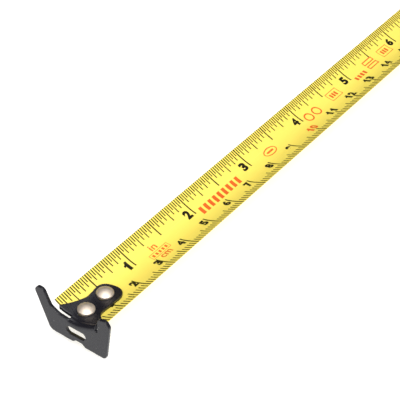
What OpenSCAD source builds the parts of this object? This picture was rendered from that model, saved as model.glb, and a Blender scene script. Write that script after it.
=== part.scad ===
// Pocket tape measure with its blade drawn out and locked.
// Origin: centre of the foot of the case. +X is the way the blade is pulled, +Z is up.
// The inch edge of the blade is on the -Y side and the centimetre edge on the +Y side.

/* [Blade] */
// Flat width of the steel blade
blade_w = 16; // [13:0.5:19]
// Thickness of the coated blade
blade_t = 0.15; // [0.1:0.01:0.25]
// Radius of the trough along the middle of the blade
trough_r = 9.3; // [8:0.1:14]
// Half width of that trough, measured around its curve
trough_half = 3.1; // [2:0.1:5]
// Radius of the flatter flanks outside the trough
flank_r = 26.7; // [20:0.1:60]
// Full length of the blade
tape_length = 3000; // [1000:100:5000]
// Length standing out of the case, from its front to the zero of the scale
exposed = 206; // [60:1:400]
// Length of the stiff end piece that carries the hook
tip_l = 19; // [18:0.5:22]
// Gap between the end of the blade and the zero of the scale
blade_setback = 1.4; // [1.2:0.1:2.5]
// Height of the underside of the blade above the foot
blade_z = 7; // [6.5:0.1:10]

/* [Hook] */
// Thickness of the pressed hook plate, which is also its travel
hook_t = 0.9; // [0.6:0.05:1.1]
// Reach of the plate below the blade
hook_drop = 5.15; // [4:0.05:6]
// Reach of the short ear above the blade
ear_rise = 6.6; // [5:0.05:9]
// Half width of the plate at the top of its long wing
wing_half = 11.2; // [10:0.1:12.4]
// Length of the nail slot
nail_slot_l = 5.8; // [4:0.1:8]
// Height of the nail slot
nail_slot_h = 2.3; // [1.5:0.1:2.5]
// Half width of the tongue at its waist
tongue_half = 3.05; // [2.9:0.05:3.6]
// Radius of the round end of the tongue
tongue_end_r = 3.5; // [3.4:0.05:4.5]
// Distance from the zero of the scale to the front rivet
rivet_x = 4.3; // [4:0.1:5]
// Distance between the two rivets
rivet_pitch = 7.25; // [6:0.05:8]
// Radius of the rivet heads
rivet_head_r = 2.2; // [2:0.05:2.6]
// Height of the domed part of a rivet head
rivet_dome = 0.8; // [0.4:0.05:1.2]
// Radius of the rivet shanks
rivet_r = 1.2; // [0.9:0.05:1.3]

/* [Case] */
// Width of the two hard shells together
case_w = 24; // [23.5:0.5:32]
// Wall thickness of the shells
wall = 1.8; // [1.4:0.1:2.4]
// Distance from the middle of the foot to the front wall
front_x = 31; // [30:0.5:40]
// Height of the upright part of the front wall
front_h = 17; // [15:0.5:19]
// Distance from the middle of the foot to the reel axis
reel_back = 4; // [3:0.5:8]
// Thickness of the rubber over-moulding
grip_t = 1.2; // [0.8:0.1:2]
// Width of the rubber rim seen from the side
grip_rim = 7; // [5:0.5:9]
// Radius of the round side plate
plate_r = 11; // [8:0.5:12]
// Radius of the hole for a strap
strap_hole_r = 2; // [1.5:0.1:2.2]

/* [Reel] */
// Radius of the drum that the blade is wound on
drum_r = 17; // [15:0.5:19]
// Thickness of the drum and of its flanges
reel_wall = 0.9; // [0.8:0.1:1.2]
// Room that one turn of blade takes up on the drum
wrap_t = 0.17; // [0.15:0.01:0.25]
// Radius of the fixed post that the reel turns on
post_r = 3.2; // [2.8:0.1:4]
// Thickness of the mainspring strip
spring_t = 0.16; // [0.1:0.01:0.2]
// Turns of the mainspring when it is let down
spring_turns = 8; // [5:1:12]

/* [Lock] */
// Travel of the thumb lock along the sloping front
lock_travel = 4.5; // [3:0.5:5]
// Width of the thumb button
button_w = 15; // [12:0.5:16]
// Length of the thumb button
button_l = 15; // [12:0.5:16]
// Thickness of the brake arm inside the case
arm_t = 2; // [1.5:0.1:2.2]

/* [Belt clip] */
// Width of the clip
clip_w = 12; // [10:0.5:16]
// Thickness of the clip's spring steel
clip_t = 0.9; // [0.7:0.1:1.2]
// Clear gap behind the clip
clip_gap = 4.8; // [4.4:0.1:6]

/* [Fits] */
// Radial clearance of everything that turns or slides
running = 0.05; // [0.02:0.01:0.1]
// Gap between parts that must not touch
gap = 0.3; // [0.3:0.05:0.6]

/* [Hidden] */
$fn = 64;
steps = 8;

// Where things are
bumper_t = 1.2;
zero_x = front_x + bumper_t + exposed;
tip_end_x = zero_x - blade_setback;
run_end_x = tip_end_x - tip_l;
reel_x = -reel_back;
left_on_reel = tape_length - exposed;
coil_r = sqrt(drum_r * drum_r + left_on_reel * wrap_t / PI);
reel_z = blade_z + blade_t + running + coil_r;
flange_r = coil_r + 0.8;
back_r = flange_r + 0.8 + wall;
top_z = reel_z + back_r;
case_half = case_w / 2;
cave_half = case_half - wall;
coil_half = blade_w / 2;
flange_in = coil_half + 0.2;
flange_out = flange_in + reel_wall;

// Sloping front wall, from the top of the upright part to the top of the case
slope_dx = -17;
slope_dz = top_z - front_h;
slope_len = sqrt(slope_dx * slope_dx + slope_dz * slope_dz);
slope_tilt = atan2(-slope_dx, slope_dz);
lock_up = 19;
lock_neck = 6;
neck_reach = wall + 0.6;
arm_half = 5;
arm_step = 3.8;
arm_knee = 5;
arm_foot = -3.6;
click_up = 17;
brake_gap = 0.08;

// Blade section: a trough with a flank each side, tangent to it and lapped by a hair
seam = 0.05;
trough_deg = trough_half / trough_r * 180 / PI;
flank_y = -(flank_r - trough_r) * sin(trough_deg);
flank_z = trough_r + (flank_r - trough_r) * cos(trough_deg);

// Hook layers above the blade
hook_low = blade_t + 0.03;
hook_top = hook_low + hook_t;
fold_r = 1.1;
fold_in_r = 0.2;
fold_foot = 1.4;
fold_from = -10;
fold_to = trough_deg + 8.8;
fold_end = flank_y + flank_r * sin(fold_to);
tongue_x = 0.85;
tongue_tip_x = 0.42;
ear_in = 7.45;
slot_y = 0.95;
slot_z = -1.95;
head_seat = trough_r - sqrt((trough_r - hook_top) ^ 2 - rivet_head_r ^ 2) + 0.04;
head_land = 0.4;
tail_r = 1.9;
tail_t = 0.5;

// Fasteners
screw_r = 1.1;
screw_head_r = 2.1;
screw_head_t = 1.4;
boss_r = 2.4;
lower_screw_z = 3.9;
screw_spots = [[12, lower_screw_z], [-15, lower_screw_z], [12.6, top_z - 6.2]];
eyelet_t = 1;
eyelet_spot = [-22.6, 6.2];
clip_pad_z = reel_z + 12;
clip_y = -case_half;

// ---------------------------------------------------------------- helpers

// Mean of a and b with share f of b
function mix(a, b, f) = a + (b - a) * f;

// Smooth ramp from 0 to 1
function ramp(f) = let (c = min(1, max(0, f))) c * c * (3 - 2 * c);

// Point of the blade section at distance s around it and at height lift above its underside
function on_blade(s, lift) =
    let (a = abs(s), side = s < 0 ? -1 : 1)
    a <= trough_half
    ? let (t = a / trough_r * 180 / PI)
      [side * (trough_r - lift) * sin(t), trough_r - (trough_r - lift) * cos(t)]
    : let (t = trough_deg + (a - trough_half) / flank_r * 180 / PI)
      [side * (flank_y + (flank_r - lift) * sin(t)), flank_z - (flank_r - lift) * cos(t)];

// The same section, flattened as the share k goes from 1 to 0
function flattened(s, lift, k) =
    let (p = on_blade(s, lift)) [mix(s, p[0], k), mix(lift, p[1], k)];

// Corner arc of a rounded outline: p is [x, y, radius], a and b are its neighbours
function corner(a, p, b) =
    let (u = [a[0] - p[0], a[1] - p[1]] / norm([a[0] - p[0], a[1] - p[1]]),
         v = [b[0] - p[0], b[1] - p[1]] / norm([b[0] - p[0], b[1] - p[1]]),
         half = acos(u * v) / 2,
         reach = p[2] / sin(half),
         mid = (u + v) / norm(u + v),
         c = [p[0], p[1]] + mid * reach,
         from = u * (p[2] / tan(half)) + [p[0], p[1]] - c,
         to = v * (p[2] / tan(half)) + [p[0], p[1]] - c,
         start = atan2(from[1], from[0]),
         turn = atan2(from[0] * to[1] - from[1] * to[0], from * to),
         n = max(2, ceil(abs(turn) / 9)))
    [for (i = [0 : n]) c + p[2] * [cos(start + turn * i / n), sin(start + turn * i / n)]];

// Closed outline through points [x, y, radius], each corner rounded to its radius
function rounded(pts) =
    let (n = len(pts))
    [for (i = [0 : n - 1])
        let (p = pts[i], a = pts[(i + n - 1) % n], b = pts[(i + 1) % n])
        each (p[2] > 0 ? corner(a, p, b) : [[p[0], p[1]]])];

// Solid from y0 to y1 with an X-Z outline
module slab(y0, y1) {
    translate([0, y1, 0]) rotate([90, 0, 0]) linear_extrude(y1 - y0) children();
}

// Solid from x0 to x1 with a Y-Z outline
module beam(x0, x1) {
    translate([x0, 0, 0]) rotate([90, 0, 90]) linear_extrude(x1 - x0) children();
}

// Round bar along Y
module bar_y(x, z, y0, y1, r) {
    translate([x, y1, z]) rotate([90, 0, 0]) cylinder(h = y1 - y0, r = r);
}

// Ring along Y
module ring_y(x, z, y0, y1, r_out, r_in) {
    difference() {
        bar_y(x, z, y0, y1, r_out);
        bar_y(x, z, y0 - 1, y1 + 1, r_in);
    }
}

// Sector of a ring about [cy, cz], between two angles counted from straight down
module ring_sector(cy, cz, r_out, r_in, from, to) {
    far = 3 * r_out;
    translate([cy, cz]) intersection() {
        difference() {
            circle(r = r_out, $fn = 200);
            circle(r = r_in, $fn = 200);
        }
        polygon([[0, 0], far * [sin(from), -cos(from)], far * [sin(to), -cos(to)]]);
    }
}

// Band along the blade section: a trough and two flanks, between two heights above the underside
module blade_band(half, low, high) {
    edge_deg = trough_deg + (half - trough_half) / flank_r * 180 / PI;
    ring_sector(0, trough_r, trough_r - low, trough_r - high, -trough_deg, trough_deg);
    for (side = [0, 1]) mirror([side, 0])
        ring_sector(flank_y, flank_z, flank_r - low, flank_r - high, trough_deg - seam, edge_deg);
}

// Solid through a row of sections: each goes along one side of a strip and back along the other
module strip_loft(sections) {
    ring = len(sections[0]);
    half = ring / 2;
    last = (len(sections) - 1) * ring;
    polyhedron([for (s = sections) each s], concat(
        [for (i = [0 : half - 2]) each
            [[i, i + 1, ring - 2 - i], [i, ring - 2 - i, ring - 1 - i]]],
        [for (j = [0 : len(sections) - 2], i = [0 : ring - 1])
            let (a = j * ring + i, b = j * ring + (i + 1) % ring)
            each [[a, a + ring, b + ring], [a, b + ring, b]]],
        [for (i = [0 : half - 2]) each
            [[last + i, last + ring - 2 - i, last + i + 1],
             [last + i, last + ring - 1 - i, last + ring - 2 - i]]]
    ));
}

// ------------------------------------------------------------------- case

// Outline of the case seen from the side
module case_outline() {
    polygon(rounded([
        [reel_x - back_r, 0, 6],
        [front_x, 0, 2],
        [front_x, front_h, 5],
        [front_x + slope_dx, top_z, 13],
        [reel_x - back_r, top_z, back_r]
    ]));
}

// The window inside the rubber rim
module rim_window() {
    offset(r = -grip_rim) case_outline();
}

// Moves children to the foot of the sloping front, with +Z up the slope and +X out of it
module on_slope() {
    translate([front_x, 0, front_h]) rotate([0, -slope_tilt, 0]) children();
}

// Space the lock needs in the shells: the neck's slot and the way of the arm
module lock_room() {
    on_slope() {
        translate([-4, -4 - gap, lock_up - gap])
            cube([12, 8 + 2 * gap, lock_neck + lock_travel + 2 * gap]);
    }
}

// Mouth that the blade and the tongue pass through
module mouth() {
    beam(front_x - wall - 1, front_x + bumper_t + 1)
        polygon(rounded([
            [-coil_half - 0.8, blade_z - 1.4, 0.8], [coil_half + 0.8, blade_z - 1.4, 0.8],
            [coil_half + 0.8, blade_z + 4.6, 1.5], [-coil_half - 0.8, blade_z + 4.6, 1.5]
        ]));
}

// One whole closed shell, before it is split: hollow, with every boss
module shell_body() {
    difference() {
        slab(-case_half, case_half) case_outline();
        slab(-cave_half, cave_half) offset(delta = -wall) case_outline();
    }
    intersection() {
        union() {
            for (s = screw_spots) bar_y(s[0], s[1], -cave_half - 1, cave_half + 1, boss_r);
            bar_y(eyelet_spot[0], eyelet_spot[1], -cave_half - 1, cave_half + 1,
                strap_hole_r + eyelet_t + 1.2);
        }
        slab(-cave_half - 1, cave_half + 1) offset(delta = -0.5) case_outline();
    }
}

// Everything cut out of both shells
module shell_cuts() {
    mouth();
    lock_room();
    for (s = screw_spots) {
        bar_y(s[0], s[1], -case_half - 1, 1, screw_r + 0.1);
        bar_y(s[0], s[1], 0, cave_half, screw_r);
        bar_y(s[0], s[1], -case_half - 1, -case_half + screw_head_t + 0.2, screw_head_r + 0.1);
    }
    bar_y(eyelet_spot[0], eyelet_spot[1], -case_half - 1, case_half + 1, strap_hole_r + eyelet_t);
    bar_y(reel_x, reel_z, -case_half + 0.9, case_half - 0.9, post_r);
    bar_y(reel_x, reel_z, -case_half - 1, 0, screw_r + 0.1);
    bar_y(reel_x, reel_z, -case_half - 1, -case_half + 0.6, screw_head_r + 0.4);
    bar_y(reel_x, reel_z, case_half - 0.6, case_half + 1, plate_r);
    bar_y(reel_x, clip_pad_z, -case_half - 1, -cave_half - 0.1, screw_r + 0.1);
}

module case_left() {
    color("DimGray") difference() {
        shell_body();
        shell_cuts();
        translate([-100, 0, -10]) cube([200, 100, 100]);
    }
}

module case_right() {
    color("DimGray") {
        difference() {
            shell_body();
            shell_cuts();
            translate([-100, -100, -10]) cube([200, 100, 100]);
        }
        spring_seats();
    }
}

// Rubber skin around the top, the back and the rear of the foot, with a rim on each side
module grip_body() {
    intersection() {
        difference() {
            slab(-case_half - grip_t * 0.8, case_half + grip_t * 0.8)
                offset(r = grip_t) case_outline();
            slab(-case_half, case_half) case_outline();
            for (drop = [0, grip_rim]) slab(-case_half - 10, case_half + 10)
                translate([0, -drop]) rim_window();
            bar_y(eyelet_spot[0], eyelet_spot[1], -case_half - 10, case_half + 10,
                strap_hole_r + eyelet_t + 1.4);
            for (s = screw_spots) {
                bar_y(s[0], s[1], -case_half - 10, -case_half, screw_head_r + 0.5);
            }
        }
        slab(-case_half - 10, case_half + 10) difference() {
            translate([-60, 4.5]) square([72, 100]);
            translate([12.6, top_z - 6.2]) circle(r = screw_head_r + 0.9);
        }
    }
}

module grip_left() {
    color([0.09, 0.09, 0.1]) difference() {
        grip_body();
        translate([-100, 0, -10]) cube([200, 100, 100]);
    }
}

module grip_right() {
    color([0.09, 0.09, 0.1]) difference() {
        grip_body();
        translate([-100, -100, -10]) cube([200, 100, 100]);
    }
}

// Blank round plate let into the right side
module side_plate() {
    color([0.95, 0.8, 0.1]) translate([reel_x, case_half - 0.6, reel_z]) rotate([-90, 0, 0])
        rotate_extrude() polygon([
            [0, 0], [plate_r - 0.05, 0], [plate_r - 0.05, 0.5], [plate_r - 0.4, 0.9],
            [plate_r - 2, 0.9], [plate_r - 2.4, 0.6], [0, 0.6]
        ]);
}

// Rubber pad on the front that the hook runs up against
module front_bumper() {
    color([0.09, 0.09, 0.1]) difference() {
        beam(front_x, front_x + bumper_t)
            polygon(rounded([
                [-case_half + 0.8, 1.2, 1.5], [case_half - 0.8, 1.2, 1.5],
                [case_half - 0.8, front_h - 2.6, 1.5], [-case_half + 0.8, front_h - 2.6, 1.5]
            ]));
        mouth();
    }
}

// Space for the guide between the shells
module guide_body() {
    translate([front_x - 11, -cave_half + 0.1, wall]) cube([9, 2 * cave_half - 0.2, 3.8]);
}

// Hard guide under the blade just inside the mouth, grooved for the rivet tails
module mouth_guide() {
    color("WhiteSmoke") difference() {
        union() {
            guide_body();
            translate([front_x - 10.6, -coil_half, 5]) cube([8.6, blade_w, 4.6]);
        }
        beam(front_x - 20, front_x + 1) difference() {
            translate([-20, blade_z - 0.25]) square([40, 12]);
            polygon(concat([[-20, blade_z - 1]], [for (i = [-steps : steps])
                let (p = on_blade((coil_half + 0.6) * i / steps, -0.25)) [p[0], p[1] + blade_z]],
                [[20, blade_z - 1]]));
        }
        beam(front_x - 20, front_x + 1)
            translate([0, blade_z - 0.1]) circle(r = tail_r + 0.5);
    }
}

module case_screws() {
    color("Silver") for (s = screw_spots) {
        bar_y(s[0], s[1], -case_half + screw_head_t + 0.2, cave_half - 1, screw_r);
        difference() {
            bar_y(s[0], s[1], -case_half + 0.2, -case_half + screw_head_t + 0.2, screw_head_r);
            for (t = [0, 90]) translate([s[0], -case_half + 0.2, s[1]]) rotate([0, t, 0])
                cube([2.4, 1.4, 0.5], center = true);
        }
    }
}

// Fixed post, slit for the inner end of the mainspring
module centre_post() {
    color("Gainsboro") difference() {
        bar_y(reel_x, reel_z, -case_half + 0.9, case_half - 0.9, post_r);
        bar_y(reel_x, reel_z, -case_half, -case_half + 10, screw_r);
        translate([reel_x, 0, reel_z + post_r / 2]) cube([0.5, 12.4, post_r + 0.1], center = true);
    }
}

module centre_screw() {
    color("Silver") union() {
        bar_y(reel_x, reel_z, -case_half + 0.6, -case_half + 9, screw_r);
        difference() {
            bar_y(reel_x, reel_z, -case_half - 0.6, -case_half + 0.6, screw_head_r + 0.3);
            for (t = [0, 90]) translate([reel_x, -case_half - 0.6, reel_z]) rotate([0, t, 0])
                cube([2.6, 1.2, 0.5], center = true);
        }
    }
}

// Steel eyelet of the strap hole
module strap_eyelet() {
    color("Silver") {
        ring_y(eyelet_spot[0], eyelet_spot[1], -case_half - 0.3, case_half + 0.3,
            strap_hole_r + eyelet_t, strap_hole_r);
    }
}

// ------------------------------------------------------------------- reel

// Thrust washer between a flange and the wall of the case
module washer(y0, y1) {
    color("Ivory") ring_y(reel_x, reel_z, y0, y1, post_r + 2.4, post_r + running);
}

module washer_left() {
    washer(-cave_half + 0.02, -flange_out - running);
}

module washer_right() {
    washer(flange_out + running, cave_half - 0.02);
}

// Drum with its right flange and the hub that runs on the post
module spool() {
    color("OrangeRed") difference() {
        union() {
            ring_y(reel_x, reel_z, -flange_in, flange_in, drum_r, drum_r - reel_wall);
            ring_y(reel_x, reel_z, flange_in, flange_out, flange_r, post_r + running);
        }
        for (t = [0 : 60 : 300]) translate([reel_x, 0, reel_z]) rotate([0, t, 0])
            bar_y(drum_r - 4.5, 0, flange_in - 1, flange_out + 1, 2.2);
        spring_anchor(0.3);
    }
}

// Left flange, with a ring that centres it in the drum
module spool_cover() {
    color("OrangeRed") {
        ring_y(reel_x, reel_z, -flange_out, -flange_in, flange_r, post_r + running);
        ring_y(reel_x, reel_z, -flange_in, -flange_in + 1, drum_r - reel_wall - 0.02,
            drum_r - reel_wall - 1);
    }
}

// Way out through the drum for the end of the mainspring
module spring_anchor(room) {
    translate([reel_x + drum_r - 1, 0, reel_z]) rotate([0, 20, 0])
        cube([4, 12 + room, spring_t + room], center = true);
}

// Spiral mainspring: its inner leg sits in the post, its outer end hangs on the drum
module mainspring() {
    r0 = post_r + 0.25;
    r1 = drum_r - reel_wall - 0.45;
    n = spring_turns * 20;
    h = spring_t / 2;
    leg = screw_r + 0.15;
    path = [for (i = [0 : n]) let (f = i / n)
        [mix(r0, r1, 1 - (1 - f) ^ 1.5), 90 + 360 * spring_turns * f]];
    color("LightSlateGray") translate([reel_x, 0, reel_z]) slab(-6, 6)
        polygon(concat(
            [[h, leg], [h, r0 + h]],
            [for (i = [1 : n]) let (p = path[i]) (p[0] + h) * [cos(p[1]), sin(p[1])]],
            [for (i = [n : -1 : 1]) let (p = path[i]) (p[0] - h) * [cos(p[1]), sin(p[1])]],
            [[-h, r0 - h], [-h, leg]]
        ));
}

// The blade still on the reel
module blade_coil() {
    color([0.93, 0.85, 0.35])
        ring_y(reel_x, reel_z, -coil_half, coil_half, coil_r, drum_r + 0.02);
}

// ------------------------------------------------------------------ blade

// Free run of the blade, flat where it leaves the coil and troughed from there on
module blade_run() {
    flat_l = 18;
    xs = concat([for (i = [0 : 9]) reel_x + flat_l * i / 9], [run_end_x]);
    color([0.98, 0.93, 0.4]) strip_loft([for (x = xs) let (k = ramp((x - reel_x) / flat_l))
        concat(
            [for (i = [-steps : steps])
                let (p = flattened(coil_half * i / steps, blade_t, k)) [x, p[0], p[1] + blade_z]],
            [for (i = [steps : -1 : -steps])
                let (p = flattened(coil_half * i / steps, 0, k)) [x, p[0], p[1] + blade_z]]
        )]);
}

// Last stretch of the blade, with the rivet holes
module blade_tip() {
    color([0.98, 0.93, 0.4]) difference() {
        beam(run_end_x, tip_end_x) translate([0, blade_z]) blade_band(coil_half, 0, blade_t);
        for (x = [rivet_x, rivet_x + rivet_pitch])
            translate([zero_x - x, 0, blade_z - 1]) cylinder(h = 3, r = rivet_r);
    }
}

// Domed rivet with its shank and its closed tail, standing at distance x from the zero
module rivet(x) {
    dome_r = (rivet_head_r ^ 2 + rivet_dome ^ 2) / (2 * rivet_dome);
    land_top = head_seat + head_land;
    color("Silver") translate([zero_x - x, 0, blade_z]) {
        translate([0, 0, -tail_t]) cylinder(h = head_seat + tail_t, r = rivet_r);
        translate([0, 0, -tail_t - 0.02]) cylinder(h = tail_t, r = tail_r);
        translate([0, 0, head_seat]) cylinder(h = head_land, r = rivet_head_r);
        intersection() {
            translate([0, 0, land_top + rivet_dome - dome_r]) sphere(r = dome_r);
            translate([0, 0, land_top - 0.01]) cylinder(h = 3, r = rivet_head_r);
        }
    }
}

module front_rivet() {
    rivet(rivet_x);
}

module rear_rivet() {
    rivet(rivet_x + rivet_pitch);
}

// ------------------------------------------------------------------- hook

// Outline of the plate, Y and height above the blade's underside
module hook_outline() {
    polygon(rounded([
        [-6.85, -hook_drop + 0.3, 1.8],
        [-wing_half - 0.9, ear_rise + 0.15, 1.25],
        [-wing_half + 2.25, ear_rise + 0.15, 1.4],
        [-6.85, 2.5, 1.8],
        [-4.4, 1.3, 3],
        [-1.55, 1.05, 0],
        [-1.55, -0.3, 0],
        [3, -0.1, 0],
        [fold_end - 0.2, 1.3, 0],
        [fold_end - 0.2, 2, 0],
        [ear_in, 2, 0.2],
        [ear_in, ear_rise - 0.3, 0.9],
        [9.9, ear_rise + 0.25, 1.1],
        [11.0, 5.4, 0.9],
        [10.0, -hook_drop - 0.1, 1],
        [3.7, -hook_drop, 0.9],
        [2.7, -hook_drop + 0.85, 0.7],
        [0.9, -hook_drop + 0.85, 0.7],
        [0, -hook_drop + 0.05, 0.9]
    ]));
}

// Profile of the bend between plate and tongue, its end run into the tongue: [radius, X]
module fold_profile(r) {
    bends = 6;
    ledge = 0.1;
    root = -tongue_x - 0.3;
    polygon(concat(
        [[r - hook_top + ledge, root], [r - hook_top + ledge, -tongue_x]],
        [for (i = [0 : bends]) let (t = 90 * i / bends)
            [r - hook_top + fold_r - fold_r * cos(t), hook_t - fold_r + fold_r * sin(t)]],
        [[r + fold_foot, hook_t], [r + fold_foot, 0]],
        [for (i = [bends : -1 : 0]) let (t = 90 * i / bends)
            [r - hook_low + fold_in_r - fold_in_r * cos(t), -fold_in_r + fold_in_r * sin(t)]],
        [[r - hook_low - ledge, -tongue_x], [r - hook_low - ledge, root]]
    ));
}

// That profile turned about one axis of the blade section
module fold_sweep(cy, cz, r, from, to) {
    translate([0, cy, cz]) rotate([0, 90, 0]) rotate([0, 0, from])
        rotate_extrude(angle = to - from, $fn = 200) fold_profile(r);
}

// Bend between the plate and the tongue, following the trough and then the flank
module hook_fold() {
    lap = 0.4;
    sink = 0.012;
    fold_sweep(0, trough_r, trough_r, fold_from, trough_deg);
    fold_sweep(flank_y, flank_z, flank_r + sink, trough_deg - lap, fold_to);
}

// Plan of the tongue, x from the zero towards the case
module tongue_plan() {
    end_x = rivet_x + rivet_pitch + 0.6;
    end_y = tongue_end_r - tongue_half;
    polygon(rounded([
        [tongue_tip_x, -5.5, 0.3],
        [4.6, -3.7, 6],
        [7.8, -2.7, 5],
        [end_x, end_y - tongue_end_r + 0.05, 0],
        [end_x, end_y + tongue_end_r - 0.05, 0],
        [8.6, 3.75, 4],
        [5.4, 3.45, 3],
        [1.6, 7, 0],
        [tongue_x, 7, 0],
        [tongue_x, -2, 0]
    ]));
    translate([end_x, end_y]) circle(r = tongue_end_r);
}

module end_hook() {
    color([0.12, 0.12, 0.13]) translate([zero_x, 0, blade_z]) difference() {
        union() {
            beam(0, hook_t) hook_outline();
            hook_fold();
            intersection() {
                beam(-20, -tongue_tip_x / 2) blade_band(coil_half - 0.9, hook_low, hook_top);
                translate([0, 0, -1]) mirror([1, 0, 0]) linear_extrude(8) tongue_plan();
            }
        }
        for (x = [rivet_x, rivet_x + rivet_pitch]) {
            for (d = [0, hook_t]) translate([d - x, 0, -1])
                cylinder(h = 4, r = rivet_r + running);
            translate([-x, -rivet_r - running, -1]) cube([hook_t, 2 * (rivet_r + running), 4]);
        }
        for (y = [-1, 1]) translate([-1, slot_y + y * (nail_slot_l - nail_slot_h) / 2, slot_z])
            rotate([0, 90, 0]) cylinder(h = 3, r = nail_slot_h / 2);
        translate([-1, slot_y - (nail_slot_l - nail_slot_h) / 2, slot_z - nail_slot_h / 2])
            cube([3, nail_slot_l - nail_slot_h, nail_slot_h]);
    }
}

// ------------------------------------------------------------------- lock

// Thumb button on the slope, with its neck through the wall
module lock_button() {
    color([0.95, 0.8, 0.1]) on_slope() {
        difference() {
            translate([gap, -button_w / 2, lock_up - 5]) slab_edge(button_w, button_l, 3);
            for (i = [0 : 3]) translate([gap + 3, -button_w, lock_up - 1.2 + i * 2.8])
                rotate([-90, 0, 0]) cylinder(h = 2 * button_w, r = 0.7);
        }
        translate([-neck_reach, -4, lock_up]) cube([neck_reach + 1, 8, lock_neck]);
    }
}

// Block of width w, length l and thickness t with its upper edges bevelled
module slab_edge(w, l, t) {
    translate([0, w, 0]) rotate([90, 0, 0]) linear_extrude(w)
        polygon(rounded([[0, 0, 0], [t, 0, 1.4], [t, l, 1.4], [0, l, 0]]));
}

// Arm that carries the thumb's push down to the brake, stepped in past the front wall
module lock_arm() {
    out = -neck_reach;
    in = -neck_reach - arm_step;
    top = lock_up + lock_neck - 0.5;
    color("DarkSlateGray") on_slope() difference() {
        translate([0, arm_half, 0]) rotate([90, 0, 0]) linear_extrude(2 * arm_half) polygon([
            [out, top], [out - arm_t, top], [out - arm_t, arm_knee], [in - arm_t, arm_knee],
            [in - arm_t, arm_foot], [in, arm_foot], [in, arm_knee - arm_t],
            [out, arm_knee - arm_t]
        ]);
        for (d = [0, -lock_travel]) translate([out - arm_t - 1, arm_half, click_up + d])
            rotate([0, 90, 0]) cylinder(h = arm_t + 2, r = 0.6);
    }
}

// Forked rubber shoe: a pad each side of the way of the tongue and rivets
module brake_shoe() {
    pad_in = 4.6;
    pad_out = 7.5;
    clear_z = head_seat + head_land + rivet_dome + 0.6;
    color([0.15, 0.15, 0.15]) intersection() {
        beam(front_x - 7, front_x - 3) translate([0, blade_z]) difference() {
            polygon(concat(
                [for (i = [-steps : steps])
                    on_blade(pad_out * i / steps, blade_t + brake_gap)],
                [[pad_out - 0.6, 6], [-pad_out + 0.6, 6]]
            ));
            translate([-pad_in, -1]) square([2 * pad_in, clear_z + 1]);
        }
        on_slope() translate([-15, -10, arm_foot - 20]) cube([20, 20, 20]);
    }
}

// Click spring beside the arm: a flat leaf with one bump
module lock_spring() {
    y = arm_half + 2.2;
    color("Silver") on_slope() translate([-neck_reach - arm_t, 0, click_up])
        linear_leaf(arm_t - 0.4) polygon([
            [-6, y + 0.3], [-6, y], [-2, y], [0, arm_half + 0.1], [2, y], [6, y],
            [6, y + 0.3], [1.9, y + 0.3], [0, arm_half + 0.5], [-1.9, y + 0.3]
        ]);
}

// Solid of depth d along X with an outline in [height, Y]
module linear_leaf(d) {
    rotate([0, 90, 0]) mirror([1, 0, 0]) linear_extrude(d) children();
}

// Seats in the right shell that hold the ends of the click spring
module spring_seats() {
    y = arm_half + 2.5;
    on_slope() for (d = [-6, 4.5])
        translate([-neck_reach - arm_t, y, click_up + d]) cube([arm_t + 0.6, cave_half - y + 0.5, 1.5]);
}

// -------------------------------------------------------------- belt clip

// Bent strip of spring steel on the left side
module belt_clip() {
    out = clip_y - clip_gap - clip_t / 2;
    near = clip_y - clip_t / 2 - 0.02;
    path = [
        [near, clip_pad_z + 3.4], [near, clip_pad_z - 5], [out, clip_pad_z - 10],
        [out, 14], [near - 0.9, 9.5], [near - 2.4, 6]
    ];
    color("Silver") difference() {
        beam(reel_x - clip_w / 2, reel_x + clip_w / 2)
            for (i = [0 : len(path) - 2]) hull() {
                translate(path[i]) circle(d = clip_t, $fn = 24);
                translate(path[i + 1]) circle(d = clip_t, $fn = 24);
            }
        bar_y(reel_x, clip_pad_z, clip_y - 3, clip_y + 1, screw_r + 0.1);
    }
}

module clip_screw() {
    color("Silver") union() {
        bar_y(reel_x, clip_pad_z, clip_y - clip_t - 0.02, -cave_half - 0.2, screw_r);
        difference() {
            bar_y(reel_x, clip_pad_z, clip_y - clip_t - 1.2, clip_y - clip_t - 0.02,
                screw_head_r + 0.3);
            for (t = [0, 90]) translate([reel_x, clip_y - clip_t - 1.2, clip_pad_z])
                rotate([0, t, 0]) cube([2.6, 1.2, 0.5], center = true);
        }
    }
}

case_left();
case_right();
grip_left();
grip_right();
side_plate();
front_bumper();
mouth_guide();
case_screws();
centre_post();
centre_screw();
strap_eyelet();
washer_left();
washer_right();
spool();
spool_cover();
mainspring();
blade_coil();
blade_run();
blade_tip();
front_rivet();
rear_rivet();
end_hook();
lock_button();
lock_arm();
brake_shoe();
lock_spring();
belt_clip();
clip_screw();
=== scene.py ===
# %% [markdown]
# # A three metre tape measure with its blade out
# This lesson dresses a working tape measure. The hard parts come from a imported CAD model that
# never moves: we only hide a CAD part when a finer piece of our own stands for it.
# The pieces come in the order a maker would look at them: blade, print, hook, rivets, then the case.

# %% Load the frame
import math
import bmesh
import bpy
from mathutils import Matrix, Vector


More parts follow.
